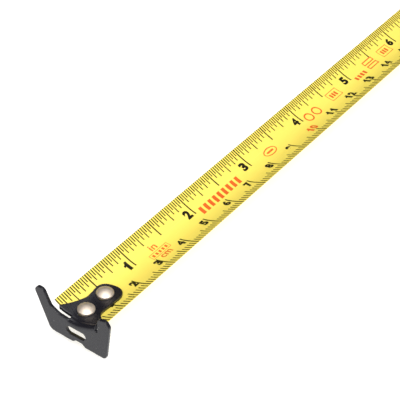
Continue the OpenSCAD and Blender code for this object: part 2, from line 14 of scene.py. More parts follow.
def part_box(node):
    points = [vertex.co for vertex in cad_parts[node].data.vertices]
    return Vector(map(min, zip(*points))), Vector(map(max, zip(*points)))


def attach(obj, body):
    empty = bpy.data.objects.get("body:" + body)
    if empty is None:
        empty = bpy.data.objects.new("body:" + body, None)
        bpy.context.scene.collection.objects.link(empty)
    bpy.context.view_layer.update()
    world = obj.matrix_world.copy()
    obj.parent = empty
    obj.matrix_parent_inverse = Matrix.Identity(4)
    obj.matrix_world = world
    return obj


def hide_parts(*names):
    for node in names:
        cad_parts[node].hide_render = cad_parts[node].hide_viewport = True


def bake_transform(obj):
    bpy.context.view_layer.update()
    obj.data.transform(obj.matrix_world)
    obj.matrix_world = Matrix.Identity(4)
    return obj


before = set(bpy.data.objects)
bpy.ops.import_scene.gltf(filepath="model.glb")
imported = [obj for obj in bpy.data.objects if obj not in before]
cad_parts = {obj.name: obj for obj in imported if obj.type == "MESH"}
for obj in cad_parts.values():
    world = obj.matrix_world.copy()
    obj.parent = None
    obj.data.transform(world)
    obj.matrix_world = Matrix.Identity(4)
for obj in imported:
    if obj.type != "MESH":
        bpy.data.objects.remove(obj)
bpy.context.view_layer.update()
MM = 0.001

# %% [markdown]
# ## Where things are
# Everything printed on the blade is counted from the zero, which is the inner face of the hook's
# plate when the hook is pushed home. We read that plane from the hook's own box, and the blade's
# height from the blade's, so the looks stay right if the design changes.

# %% Key places read from the frame
HOOK_T = 0.9 * MM
zero_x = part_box("end_hook")[1].x - HOOK_T
tip_low, tip_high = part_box("blade_tip")
run_low, run_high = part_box("blade_run")
blade_z = tip_low.z
print("zero at x =", round(zero_x / MM, 2), "mm, blade underside at z =", round(blade_z / MM, 2), "mm")

# %% [markdown]
# ## The camera
# A tape blade is a long thin thing, so a long lens keeps it from flaring towards the viewer.
# The camera is set with three turns: round the vertical, up from straight down, and a small roll.

# %% Camera
def aim_camera(place, heading, drop, roll, lens):
    """A camera at place that faces heading (degrees round from +X), drop degrees below level."""
    camera = bpy.data.objects.new("camera", bpy.data.cameras.new("camera"))
    bpy.context.scene.collection.objects.link(camera)
    turn = (Matrix.Rotation(math.radians(heading - 90), 4, "Z")
            @ Matrix.Rotation(math.radians(90 - drop), 4, "X")
            @ Matrix.Rotation(math.radians(roll), 4, "Z"))
    camera.matrix_world = Matrix.Translation(place) @ turn
    camera.data.lens = lens
    camera.data.clip_start, camera.data.clip_end = 0.01, 50
    bpy.context.scene.camera = camera
    return camera


hook_stand = Vector((zero_x, 0, blade_z))
CAMERA_FROM_HOOK = Vector((0.21835, 0.18214, 0.27024))
HEADING, DROP, ROLL, LENS = -145.896, 39.189, 2.487, 147.8
camera = aim_camera(hook_stand + CAMERA_FROM_HOOK, HEADING, DROP, ROLL, LENS)
print("camera stands", round((camera.location - hook_stand).length, 3), "m from the hook")

# %% [markdown]
# ## Floor and light
# The tool lies in a white studio: a big pale floor that runs out of sight, an even white sky, and
# two wide soft boxes. The wide boxes give long gentle highlights on gloss black and metal.
# The standard view transform keeps the yellow of the paint pure.

# %% Floor
def new_tree(name):
    material = bpy.data.materials.new(name)
    material.use_nodes = True
    tree = material.node_tree
    return material, tree.nodes, tree.links, tree.nodes["Principled BSDF"]


def mesh_piece(name, bm, *materials):
    """An object of that name from a bmesh, with its materials; the bmesh is used up."""
    mesh = bpy.data.meshes.new(name)
    bm.to_mesh(mesh)
    bm.free()
    piece = bpy.data.objects.new(name, mesh)
    bpy.context.scene.collection.objects.link(piece)
    for material in materials:
        mesh.materials.append(material)
    return piece


FLOOR_HALF, FLOOR_DROP = 3, 0.2 * MM
floor_white, nodes, links, paper = new_tree("floor_white")
paper.inputs["Base Color"].default_value = (0.42, 0.42, 0.42, 1)
paper.inputs["Roughness"].default_value = 0.7
paper.inputs["Emission Color"].default_value = (1, 1, 1, 1)
paper.inputs["Emission Strength"].default_value = 0.72
bm = bmesh.new()
bmesh.ops.create_grid(bm, x_segments=8, y_segments=8, size=FLOOR_HALF)
floor = mesh_piece("floor", bm, floor_white)
floor.location.z = -FLOOR_DROP

# %% Sky and soft boxes
def soft_box(name, place, target, width, height, watts):
    light = bpy.data.lights.new(name, "AREA")
    light.shape = "RECTANGLE"
    light.size, light.size_y, light.energy = width, height, watts
    lamp = bpy.data.objects.new(name, light)
    bpy.context.scene.collection.objects.link(lamp)
    lamp.location = place
    lamp.rotation_euler = (Vector(target) - Vector(place)).to_track_quat("-Z", "Y").to_euler()
    return lamp


def studio_sky(open_side, bright, dim):
    """A white sky that is bright towards open_side and falls to dim behind it."""
    world = bpy.data.worlds.new("studio")
    world.use_nodes = True
    tree = world.node_tree
    facing = tree.nodes.new("ShaderNodeVectorMath")
    facing.operation = "DOT_PRODUCT"
    tree.links.new(tree.nodes.new("ShaderNodeTexCoord").outputs["Generated"], facing.inputs[0])
    facing.inputs[1].default_value = Vector(open_side).normalized()
    fall = tree.nodes.new("ShaderNodeMapRange")
    fall.interpolation_type = "SMOOTHSTEP"
    fall.inputs["From Min"].default_value, fall.inputs["From Max"].default_value = -0.35, 0.75
    fall.inputs["To Min"].default_value, fall.inputs["To Max"].default_value = dim, bright
    tree.links.new(facing.outputs["Value"], fall.inputs["Value"])
    tree.links.new(fall.outputs["Result"], tree.nodes["Background"].inputs["Strength"])
    return world


bpy.context.scene.world = studio_sky((0.7, 0.55, 0.6), 1.15, 0.4)
bpy.context.scene.view_settings.view_transform = "Standard"
middle = (0.12, 0, 0.01)  # a point on the drawn blade
soft_box("key_box", (0.75, 0.55, 0.9), middle, 0.8, 0.8, 15)
soft_box("top_box", (0.2, 0.1, 1.2), middle, 1.2, 1.2, 12)
print("floor, sky and two soft boxes are in place")

# %% [markdown]
# ## Shared surface effects
# Moulded plastic has a fine grain, handled edges are worn, and everything gathers a little dust.
# Each effect is a node group that puts out only a mask or a height, and each material feeds
# it into its own shader. Build once, then use with different numbers.

# %% A helper that starts a node group
def start_group(name, inputs, outputs):
    group = bpy.data.node_groups.new(name, "ShaderNodeTree")
    for label, value in inputs.items():
        socket = group.interface.new_socket(name=label, in_out="INPUT", socket_type="NodeSocketFloat")
        socket.default_value = value
    for label in outputs:
        group.interface.new_socket(name=label, in_out="OUTPUT", socket_type="NodeSocketFloat")
    return group, group.nodes.new("NodeGroupInput"), group.nodes.new("NodeGroupOutput")


def math_node(tree, operation, a, b):
    """A Math node; a and b are sockets or plain numbers."""
    node = tree.nodes.new("ShaderNodeMath")
    node.operation = operation
    for socket, value in zip(node.inputs, (a, b)):
        if isinstance(value, bpy.types.NodeSocket):
            tree.links.new(value, socket)
        else:
            socket.default_value = value
    return node.outputs["Value"]


# %% Grain of a moulded or painted surface
grain_group, g_in, g_out = start_group("surface_grain", {"Scale": 3000.0, "Depth": 1.0},
                                       ["Height", "Tone"])
place = grain_group.nodes.new("ShaderNodeTexCoord").outputs["Object"]
fine = grain_group.nodes.new("ShaderNodeTexNoise")
fine.inputs["Detail"].default_value = 3
grain_group.links.new(place, fine.inputs["Vector"])
grain_group.links.new(g_in.outputs["Scale"], fine.inputs["Scale"])
cells = grain_group.nodes.new("ShaderNodeTexVoronoi")
grain_group.links.new(place, cells.inputs["Vector"])
grain_group.links.new(g_in.outputs["Scale"], cells.inputs["Scale"])
both = math_node(grain_group, "ADD", fine.outputs["Fac"],
                 math_node(grain_group, "MULTIPLY", cells.outputs["Distance"], 0.5))
grain_group.links.new(math_node(grain_group, "MULTIPLY", both, g_in.outputs["Depth"]),
                      g_out.inputs["Height"])
slow = grain_group.nodes.new("ShaderNodeTexNoise")
slow.inputs["Scale"].default_value = 60
slow.inputs["Detail"].default_value = 4
grain_group.links.new(place, slow.inputs["Vector"])
grain_group.links.new(slow.outputs["Fac"], g_out.inputs["Tone"])
print("group", grain_group.name, "is ready")

# %% Wear along edges
wear_group, g_in, g_out = start_group("edge_wear", {"Start": 0.53, "Amount": 1.0}, ["Mask"])
bend = wear_group.nodes.new("ShaderNodeNewGeometry").outputs["Pointiness"]
patchy = wear_group.nodes.new("ShaderNodeTexNoise")
patchy.inputs["Scale"].default_value = 900
patchy.inputs["Detail"].default_value = 5
wear_group.links.new(wear_group.nodes.new("ShaderNodeTexCoord").outputs["Object"],
                     patchy.inputs["Vector"])
past = math_node(wear_group, "SUBTRACT", bend, g_in.outputs["Start"])
sharp = math_node(wear_group, "MULTIPLY", past, 9.0)
broken = math_node(wear_group, "MULTIPLY", sharp, patchy.outputs["Fac"])
strong = wear_group.nodes.new("ShaderNodeClamp")
wear_group.links.new(math_node(wear_group, "MULTIPLY", broken, g_in.outputs["Amount"]),
                     strong.inputs["Value"])
wear_group.links.new(strong.outputs["Result"], g_out.inputs["Mask"])
print("group", wear_group.name, "is ready")

# %% Specks of dust
dust_group, g_in, g_out = start_group("dust_specks", {"Scale": 500.0, "Amount": 0.3}, ["Mask"])
specks = dust_group.nodes.new("ShaderNodeTexVoronoi")
specks.inputs["Randomness"].default_value = 1
place = dust_group.nodes.new("ShaderNodeTexCoord").outputs["Object"]
dust_group.links.new(place, specks.inputs["Vector"])
dust_group.links.new(g_in.outputs["Scale"], specks.inputs["Scale"])
near = math_node(dust_group, "LESS_THAN", specks.outputs["Distance"], 0.09)
drift = dust_group.nodes.new("ShaderNodeTexNoise")
drift.inputs["Scale"].default_value = 150
dust_group.links.new(place, drift.inputs["Vector"])
some = math_node(dust_group, "MULTIPLY", near, drift.outputs["Fac"])
dust_group.links.new(math_node(dust_group, "MULTIPLY", some, g_in.outputs["Amount"]),
                     g_out.inputs["Mask"])
print("group", dust_group.name, "is ready")

# %% Fine lines left by drawing, rolling or turning a metal
lines_group, g_in, g_out = start_group("drawn_lines", {"Along X": 40.0, "Across Y": 4000.0,
                                                       "Across Z": 4000.0}, ["Height"])
stretch = lines_group.nodes.new("ShaderNodeCombineXYZ")
for axis, label in zip("XYZ", ("Along X", "Across Y", "Across Z")):
    lines_group.links.new(g_in.outputs[label], stretch.inputs[axis])
scaled = lines_group.nodes.new("ShaderNodeVectorMath")
scaled.operation = "MULTIPLY"
lines_group.links.new(lines_group.nodes.new("ShaderNodeTexCoord").outputs["Object"], scaled.inputs[0])
lines_group.links.new(stretch.outputs["Vector"], scaled.inputs[1])
streak = lines_group.nodes.new("ShaderNodeTexNoise")
streak.inputs["Scale"].default_value = 1
streak.inputs["Detail"].default_value = 4
lines_group.links.new(scaled.outputs["Vector"], streak.inputs["Vector"])
lines_group.links.new(streak.outputs["Fac"], g_out.inputs["Height"])
print("group", lines_group.name, "is ready")

# %% [markdown]
# ## One recipe for most finishes
# Plastics, rubbers, paints and metals share a layout: a colour that drifts a little, wear that
# shows a second colour on edges, dust on top, roughness that follows the grain, and a small bump.
# A function holds the layout, and each finish below gives it its own numbers.

# %% The finish recipe
def group_node(nodes, group, **values):
    """A node that uses group; an underscore in a value's name stands for a space."""
    node = nodes.new("ShaderNodeGroup")
    node.node_tree = group
    for label, value in values.items():
        node.inputs[label.replace("_", " ")].default_value = value
    return node


def mix_colour(tree, share, a, b):
    """Mixes colour a towards b by share; a and b are sockets or (r, g, b)."""
    node = tree.nodes.new("ShaderNodeMix")
    node.data_type = "RGBA"
    tree.links.new(share, node.inputs[0])
    for socket, value in ((node.inputs[6], a), (node.inputs[7], b)):
        if isinstance(value, bpy.types.NodeSocket):
            tree.links.new(value, socket)
        else:
            socket.default_value = (*value, 1)
    return node.outputs[2]


DUST_GREY = (0.62, 0.6, 0.56)


def finish_recipe(name, colour, drift, worn, rough, metallic=0.0, grain=3000.0, depth=0.15,
                  bump=0.03, wear=0.5, dust=0.25, coat=0.0, specular=0.5, lines=None):
    """A material: colour drifts to drift, edges wear to worn; rough is (smoothest, roughest)."""
    material, nodes, links, shader = new_tree(name)
    tree = material.node_tree
    surface = group_node(nodes, grain_group, Scale=grain, Depth=1.0)
    edges = group_node(nodes, wear_group, Amount=wear)
    specks = group_node(nodes, dust_group, Amount=dust)
    tinted = mix_colour(tree, surface.outputs["Tone"], colour, drift)
    rubbed = mix_colour(tree, edges.outputs["Mask"], tinted, worn)
    dusted = mix_colour(tree, specks.outputs["Mask"], rubbed, DUST_GREY)
    links.new(dusted, shader.inputs["Base Color"])
    spread = nodes.new("ShaderNodeMapRange")
    spread.inputs["From Min"].default_value, spread.inputs["From Max"].default_value = 0.3, 0.9
    spread.inputs["To Min"].default_value, spread.inputs["To Max"].default_value = rough
    relief = surface.outputs["Height"]
    if lines:
        drawn = group_node(nodes, lines_group, Along_X=lines[0], Across_Y=lines[1], Across_Z=lines[2])
        relief = drawn.outputs["Height"]
    links.new(relief, spread.inputs["Value"])
    links.new(spread.outputs["Result"], shader.inputs["Roughness"])
    bumper = nodes.new("ShaderNodeBump")
    bumper.inputs["Strength"].default_value = depth
    bumper.inputs["Distance"].default_value = bump * MM
    links.new(relief, bumper.inputs["Height"])
    links.new(bumper.outputs["Normal"], shader.inputs["Normal"])
    shader.inputs["Metallic"].default_value = metallic
    shader.inputs["Specular IOR Level"].default_value = specular
    shader.inputs["Coat Weight"].default_value = coat
    shader.inputs["Coat Roughness"].default_value = 0.12
    return material


shell_black = finish_recipe("shell_black", (0.022, 0.023, 0.026), (0.034, 0.035, 0.038),
                            (0.13, 0.13, 0.135), (0.34, 0.52), grain=4200, depth=0.3, bump=0.04)
grip_rubber = finish_recipe("grip_rubber", (0.012, 0.012, 0.013), (0.024, 0.024, 0.025),
                            (0.06, 0.06, 0.062), (0.62, 0.88), grain=2200, depth=0.45, bump=0.06,
                            dust=0.5, specular=0.35)
yellow_plastic = finish_recipe("yellow_plastic", (0.86, 0.56, 0.02), (0.94, 0.66, 0.035),
                               (0.95, 0.8, 0.3), (0.24, 0.42), grain=4800, depth=0.2, coat=0.15)
white_acetal = finish_recipe("white_acetal", (0.78, 0.77, 0.73), (0.86, 0.85, 0.82),
                             (0.6, 0.58, 0.53), (0.28, 0.4), grain=3000, depth=0.12)
grey_nylon = finish_recipe("grey_nylon", (0.16, 0.165, 0.17), (0.22, 0.225, 0.23),
                           (0.34, 0.34, 0.34), (0.4, 0.6), grain=3600, depth=0.25)
zinc_steel = finish_recipe("zinc_steel", (0.56, 0.56, 0.55), (0.66, 0.65, 0.62), (0.82, 0.81, 0.78),
                           (0.2, 0.42), metallic=1, grain=1800, depth=0.12, lines=(900, 900, 4200))
spring_blue = finish_recipe("spring_blue", (0.17, 0.19, 0.23), (0.26, 0.25, 0.26), (0.5, 0.49, 0.47),
                            (0.22, 0.4), metallic=1, depth=0.1, lines=(260, 5200, 260))
clip_steel = finish_recipe("clip_steel", (0.43, 0.44, 0.45), (0.52, 0.52, 0.52), (0.8, 0.79, 0.77),
                           (0.18, 0.36), metallic=1, depth=0.16, bump=0.02, lines=(4600, 4600, 60))
rivet_nickel = finish_recipe("rivet_nickel", (0.76, 0.66, 0.55), (0.83, 0.72, 0.61),
                             (0.9, 0.84, 0.76), (0.5, 0.62), metallic=1, grain=1500, depth=0.08,
                             bump=0.02, wear=0.3, dust=0.1)
hook_black = finish_recipe("hook_black", (0.008, 0.008, 0.011), (0.013, 0.012, 0.017),
                           (0.06, 0.06, 0.066), (0.2, 0.34), grain=2600, depth=0.1, bump=0.02,
                           wear=0.35, dust=0.18, specular=0.42)
print("finishes:", [m.name for m in bpy.data.materials])

# %% [markdown]
# ## The blade
# A tape blade is a strip of spring steel, curved across so that it stands out on its own. Its
# section is a tight trough in the middle with a flatter flank on each side. We could bend a flat
# plane with modifiers, but a function of the distance round the section is exact, and the same
# function later lays the print on the surface without a gap.

# %% The blade's section
TROUGH_R, TROUGH_HALF, FLANK_R = 9.3 * MM, 3.1 * MM, 26.7 * MM
BLADE_T, BLADE_HALF = 0.15 * MM, 8 * MM
trough_turn = TROUGH_HALF / TROUGH_R
flank_y = -(FLANK_R - TROUGH_R) * math.sin(trough_turn)
flank_z = TROUGH_R + (FLANK_R - TROUGH_R) * math.cos(trough_turn)
FLAT_RUN = 18 * MM  # the length over which the blade flattens towards the reel
SLICE = 0.5 * MM


def on_blade(x, s, lift):
    """The point at x, at distance s round the section, lift above the underside."""
    a, side = abs(s), (-1 if s < 0 else 1)
    if a <= TROUGH_HALF:
        turn, cy, cz, r = a / TROUGH_R, 0, TROUGH_R, TROUGH_R - lift
    else:
        turn = trough_turn + (a - TROUGH_HALF) / FLANK_R
        cy, cz, r = flank_y, flank_z, FLANK_R - lift
    y, z = side * (cy + r * math.sin(turn)), cz - r * math.cos(turn)
    share = min(1, max(0, (x - run_low.x) / FLAT_RUN))
    share = share * share * (3 - 2 * share)
    return Vector((x, s + (y - s) * share, blade_z + lift + (z - lift) * share))


slice_count = round(BLADE_HALF / SLICE)
slices = [SLICE * i for i in range(-slice_count, slice_count + 1)]
print("the blade rises", round((on_blade(tip_low.x, BLADE_HALF, 0).z - blade_z) / MM, 2), "mm at its edges")

# %% [markdown]
# The strip is one closed skin: over the top, round the edges and back underneath. Its last corners
# are rounded so that they don't catch. Inside the case it flattens, as the real one does where it
# meets the reel.

# %% The blade as a mesh
CORNER_R = 0.8 * MM
EDGE_T = 0.03 * MM
FLAT_STEPS, OUT_STEPS = 12, 56


def front_edge(s):
    """How far the blade reaches in x at width s, with its corners rounded."""
    past = abs(s) - (BLADE_HALF - CORNER_R)
    if past <= 0:
        return tip_high.x
    return tip_high.x - CORNER_R + math.sqrt(max(0, CORNER_R ** 2 - past ** 2))


def blade_skin():
    bm = bmesh.new()
    rim = [7.3, 7.5, 7.7, 7.85, 7.95, 8]
    ss = sorted({round(v / MM, 3) for v in slices if abs(v) < 7.2 * MM} | set(rim) | {-v for v in rim})
    ss = [v * MM for v in ss]
    last = BLADE_HALF - 0.04 * MM
    around = [(s, BLADE_T - (EDGE_T if abs(s) > last else 0)) for s in ss]
    around += [(s, EDGE_T if abs(s) > last else 0) for s in reversed(ss)]
    xs = [run_low.x + FLAT_RUN * i / FLAT_STEPS for i in range(FLAT_STEPS)]
    start = run_low.x + FLAT_RUN
    xs += [start + (tip_high.x - CORNER_R - start) * i / OUT_STEPS for i in range(OUT_STEPS + 1)]
    xs += [None]  # the last row follows the rounded corners
    rows = []
    for x in xs:
        row = [bm.verts.new(on_blade(front_edge(s) if x is None else x, s, lift)) for s, lift in around]
        rows.append(row)
    n = len(around)
    for row, following in zip(rows, rows[1:]):
        for i in range(n):
            bm.faces.new((row[i], following[i], following[(i + 1) % n], row[(i + 1) % n]))
    half = len(ss)
    for row, flip in ((rows[0], True), (rows[-1], False)):
        for i in range(half - 1):
            corners = (row[i], row[n - 1 - i], row[n - 2 - i], row[i + 1])
            bm.faces.new(reversed(corners) if flip else corners)
    bmesh.ops.recalc_face_normals(bm, faces=bm.faces)
    return bm


# %% [markdown]
# Blade paint is a thick yellow lacquer under a thin clear one. Up close it is never one yellow:
# there is slow drift, tiny mottling from the print, and hair scratches along the blade where it
# rubs the mouth. The scratches use the drawn-lines group stretched along X.

# %% Blade paint
def blade_lacquer():
    material, nodes, links, shader = new_tree("blade_lacquer")
    tree = material.node_tree
    surface = group_node(nodes, grain_group, Scale=5200, Depth=1.0)
    specks = group_node(nodes, dust_group, Scale=420, Amount=0.16)
    hairs = group_node(nodes, lines_group, Along_X=30, Across_Y=6500, Across_Z=6500)
    sunny, straw = (0.9, 0.74, 0.125), (0.83, 0.665, 0.11)
    base = mix_colour(tree, surface.outputs["Tone"], sunny, straw)
    scored = math_node(tree, "LESS_THAN", hairs.outputs["Height"], 0.36)
    thin = math_node(tree, "MULTIPLY", scored, 0.1)
    scratched = mix_colour(tree, thin, base, (0.97, 0.93, 0.5))
    dusted = mix_colour(tree, specks.outputs["Mask"], scratched, (0.5, 0.44, 0.2))
    links.new(dusted, shader.inputs["Base Color"])
    relief = math_node(tree, "ADD", surface.outputs["Height"],
                       math_node(tree, "MULTIPLY", hairs.outputs["Height"], 1.6))
    bumper = nodes.new("ShaderNodeBump")
    bumper.inputs["Strength"].default_value = 0.1
    bumper.inputs["Distance"].default_value = 0.02 * MM
    links.new(relief, bumper.inputs["Height"])
    links.new(bumper.outputs["Normal"], shader.inputs["Normal"])
    spread = nodes.new("ShaderNodeMapRange")
    spread.inputs["To Min"].default_value, spread.inputs["To Max"].default_value = 0.3, 0.46
    links.new(hairs.outputs["Height"], spread.inputs["Value"])
    links.new(spread.outputs["Result"], shader.inputs["Roughness"])
    shader.inputs["Specular IOR Level"].default_value = 0.4
    shader.inputs["Coat Weight"].default_value = 0.25
    shader.inputs["Coat Roughness"].default_value = 0.2
    return material


lacquer = blade_lacquer()


def smooth(piece, angle=30):
    for polygon in piece.data.polygons:
        polygon.use_smooth = True
    piece.data.set_sharp_from_angle(angle=math.radians(angle))
    return piece


blade = smooth(mesh_piece("printed_blade", blade_skin(), lacquer), 40)
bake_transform(blade)
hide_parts("blade_run", "blade_tip")
print("printed_blade has", len(blade.data.polygons), "faces")

# %% [markdown]
# ## The printed scale
# The marks are a thin layer of ink with real thickness. A texture would need an image, and a
# pattern in nodes could not draw numerals, so each mark is cut as a flat shape in a plan of the
# blade, sliced along the same lines as the blade's own faces, then laid on the section. The plan
# is measured as on the real tool: u runs from the zero towards the case, d in from the inch edge.

# %% Ink laid on the blade
INK_T, INK_SINK = 0.012 * MM, 0.01 * MM


def lay_ink(name, bm, material):
    """Slices a flat plan (u, d in mm), gives it thickness and lays it on the blade."""
    for s in slices[1:-1]:
        bmesh.ops.bisect_plane(bm, geom=bm.verts[:] + bm.edges[:] + bm.faces[:],
                               plane_co=(0, (s + BLADE_HALF) / MM, 0), plane_no=(0, 1, 0))
    for vert in bm.verts:
        vert.co.z = 0
    grown = bmesh.ops.extrude_face_region(bm, geom=bm.faces[:])
    for item in grown["geom"]:
        if isinstance(item, bmesh.types.BMVert):
            item.co.z = 1
    for vert in bm.verts:
        u, d, top = vert.co
        lift = BLADE_T + (INK_T if top else -INK_SINK)
        vert.co = on_blade(zero_x - u * MM, d * MM - BLADE_HALF, lift)
    bmesh.ops.recalc_face_normals(bm, faces=bm.faces)
    piece = mesh_piece(name, bm, material)
    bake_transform(piece)
    print(name, "has", len(piece.data.polygons), "faces")
    return piece


def printing_ink(name, colour, faded, rough):
    material, nodes, links, shader = new_tree(name)
    tree = material.node_tree
    surface = group_node(nodes, grain_group, Scale=6000, Depth=1.0)
    mottle = math_node(tree, "MULTIPLY", surface.outputs["Tone"], surface.outputs["Height"])
    links.new(mix_colour(tree, mottle, colour, faded), shader.inputs["Base Color"])
    shader.inputs["Roughness"].default_value = rough
    shader.inputs["Specular IOR Level"].default_value = 0.15
    bumper = nodes.new("ShaderNodeBump")
    bumper.inputs["Strength"].default_value = 0.12
    bumper.inputs["Distance"].default_value = 0.01 * MM
    links.new(surface.outputs["Height"], bumper.inputs["Height"])
    links.new(bumper.outputs["Normal"], shader.inputs["Normal"])
    return material


black_ink = printing_ink("black_ink", (0.006, 0.005, 0.003), (0.022, 0.019, 0.005), 0.5)
line_ink = printing_ink("line_ink", (0.012, 0.011, 0.002), (0.05, 0.045, 0.006), 0.5)
red_ink = printing_ink("red_ink", (0.62, 0.07, 0.014), (0.8, 0.2, 0.03), 0.45)


def add_bar(bm, u0, u1, d0, d1, slant=0.0):
    """A bar in the plan; slant pushes its far side along u."""
    corners = [(u0, d0), (u1, d0), (u1 + slant, d1), (u0 + slant, d1)]
    bm.faces.new([bm.verts.new((u, d, 0)) for u, d in corners])


# %% [markdown]
# ### Inch and centimetre lines
# Inches are cut into thirty-seconds, so a line's length says which fraction it is: the longer the
# line, the rounder the number. Centimetre lines on the other edge follow the same rule.

# %% Lines of the scale
INCH = 25.4
OUT_END = (zero_x - run_low.x - FLAT_RUN) / MM - 1
FINE, BOLD = 0.33, 0.41
INCH_LENGTHS = {32: 6.89, 16: 5.06, 8: 4.3, 4: 3.5, 2: 3.1, 1: 2.0}


def inch_lines():
    bm = bmesh.new()
    for k in range(2, int(OUT_END / INCH * 32)):
        step = max(n for n in INCH_LENGTHS if k % n == 0)
        width = BOLD if step >= 16 else FINE
        u = k * INCH / 32
        add_bar(bm, u - width / 2, u + width / 2, 0.02, INCH_LENGTHS[step])
    return bm


def centimetre_lines():
    bm = bmesh.new()
    for k in range(2, int(OUT_END)):
        inner = 13.5
        if k % 10 == 0:
            inner = 9.55 if k < 100 else 12.3
        elif k % 5 == 0:
            inner = 12.46
        width = BOLD if k % 10 == 0 else FINE
        add_bar(bm, k - width / 2, k + width / 2, inner, 15.98)
    return bm


inch_scale = lay_ink("inch_scale", inch_lines(), line_ink)
centimetre_scale = lay_ink("centimetre_scale", centimetre_lines(), line_ink)

# %% [markdown]
# ### Numerals
# Blender's own font draws the numerals. A text object can't bend round the blade, so we take its
# filled outline as a mesh, made bolder with the curve's offset, and place its faces in the plan.

# %% Numerals from Blender's font
def glyph_faces(text, weight):
    """Corner lists of the filled outline of text, scaled so that it is 1 wide and 1 tall."""
    curve = bpy.data.curves.new("glyph", "FONT")
    curve.body, curve.offset, curve.resolution_u = text, weight, 4
    source = bpy.data.objects.new("glyph", curve)
    mesh = source.to_mesh()
    spots = [v.co.copy() for v in mesh.vertices]
    faces = [[spots[i] for i in p.vertices] for p in mesh.polygons]
    source.to_mesh_clear()
    bpy.data.objects.remove(source)
    bpy.data.curves.remove(curve)
    lo = [min(v[i] for v in spots) for i in (0, 1)]
    size = [max(v[i] for v in spots) - lo[i] for i in (0, 1)]
    return [[((v.x - lo[0]) / size[0], (v.y - lo[1]) / size[1]) for v in f] for f in faces]


ONE = [(0.42, 0), (0.98, 0), (0.98, 1), (0.56, 1), (0.5, 0.84), (0.36, 0.75), (0.14, 0.7),
       (0.14, 0.5), (0.42, 0.55)]


def add_text(bm, text, u, d, width, height, weight):
    """Text with its left end at u and its top at d, in the plan."""
    for face in glyph_faces(text, weight):
        corners = [(u + x * width, d + (1 - y) * height) for x, y in face]
        bm.faces.new([bm.verts.new((a, b, 0)) for a, b in corners])


def add_number(bm, number, right, d, digit, height, weight):
    """A number of even digits whose right end is at right; the font's thin 1 is drawn from ONE's points."""
    text = str(number)
    for place, character in enumerate(reversed(text)):
        u = right - digit * (place + 1) - 0.18 * place
        if character != "1":
            add_text(bm, character, u + 0.04 * digit, d, digit * 0.92, height, weight)
            continue
        spots = [(u + x * digit * 0.8 + 0.1 * digit, d + (1 - y) * height, 0) for x, y in ONE]
        bmesh.ops.triangulate(bm, faces=[bm.faces.new([bm.verts.new(spot) for spot in spots])])


def numerals():
    bm = bmesh.new()
    for inch in range(1, int(OUT_END / INCH) + 1):
        add_number(bm, inch, inch * INCH - 0.9, 4.1, 2.3, 2.9, 0.06)
    for cm in range(1, int(OUT_END / 10) + 1):
        if cm % 10:
            gap = 1.75 if cm > 9 else 0.1 if cm < 4 else -0.45
            add_number(bm, cm, cm * 10 + gap, 9.7, 1.9, 2.65, 0.065)
    return bm


def merged(bm):
    """The same plan with corners joined that lie on one another."""
    bmesh.ops.remove_doubles(bm, verts=bm.verts, dist=0.0005)
    return bm


scale_numerals = lay_ink("scale_numerals", merged(numerals()), black_ink)

# %% [markdown]
# ### Red print
# Red carries the two units and the round tens. The rest of a real tape's red print belongs to its
# maker, so plain bars, rings and frames of about the same weight stand there.

# %% Red print
def add_frame(bm, u, d, width, height, line):
    """A rectangle drawn with four bars, with its left end at u and its top at d."""
    add_bar(bm, u, u + width, d, d + line)
    add_bar(bm, u, u + width, d + height - line, d + height)
    add_bar(bm, u, u + line, d + line, d + height - line)
    add_bar(bm, u + width - line, u + width, d + line, d + height - line)


def add_ring(bm, u, d, half_u, half_d, line, steps=40):
    """An oval ring about (u, d)."""
    spots = []
    for i in range(steps + 1):
        a = 2 * math.pi * i / steps
        spots.append([(u + (half_u + k) * math.cos(a), d + (half_d + k) * math.sin(a))
                      for k in (0, -line)])
    for (a, b), (c, e) in zip(spots, spots[1:]):
        bm.faces.new([bm.verts.new((*p, 0)) for p in (a, c, e, b)])


def red_print():
    bm = bmesh.new()
    add_text(bm, "in", 32.0, 5.0, 2.3, 1.95, 0.015)
    add_frame(bm, 29.8, 7.35, 7.1, 1.9, 0.14)
    for i in range(5):
        add_bar(bm, 30.5 + 1.25 * i, 31.2 + 1.25 * i, 7.85, 8.75)
    add_text(bm, "cm", 31.6, 9.6, 3.8, 1.55, 0.02)
    for i in range(9):
        add_bar(bm, 52.6 + 2 * i, 53.75 + 2 * i, 6.1, 8.7, -0.6)
    add_ring(bm, 84.6, 7.2, 2.6, 1.45, 0.32)
    add_bar(bm, 83.2, 86.0, 6.9, 7.5)
    for u in (104.3, 108.1):
        add_ring(bm, u, 7.1, 1.55, 1.65, 0.45)
    for cm in (10, 20):
        add_number(bm, cm, cm * 10 + 1.75, 9.7, 1.85, 2.6, 0.06)
    for u in (115.2, 143.3):
        add_frame(bm, u, 5.1, 5.1, 3.3, 0.2)
        for i in range(3):
            add_bar(bm, u + 1.0 + 1.1 * i, u + 1.7 + 1.1 * i, 5.95, 7.5)
    for i in range(4):
        add_bar(bm, 128.2 + 1.45 * i, 129.1 + 1.45 * i, 7.1, 8.6)
    add_frame(bm, 135.4, 5.0, 4.8, 1.5, 0.35)
    add_frame(bm, 135.4, 7.0, 4.8, 1.5, 0.35)
    return bm


red_marks = lay_ink("red_marks", merged(red_print()), red_ink)

# %% [markdown]
# ## The end hook
# The hook is one steel plate, blanked, folded over and painted black. Pressing leaves every edge
# softly rounded, and that rounding is what catches the light. The CAD part has knife edges, so we
# take a copy, remesh it finely, and let a few smoothing steps round the edges. A bevel would trip
# over the many small faces along the fold.

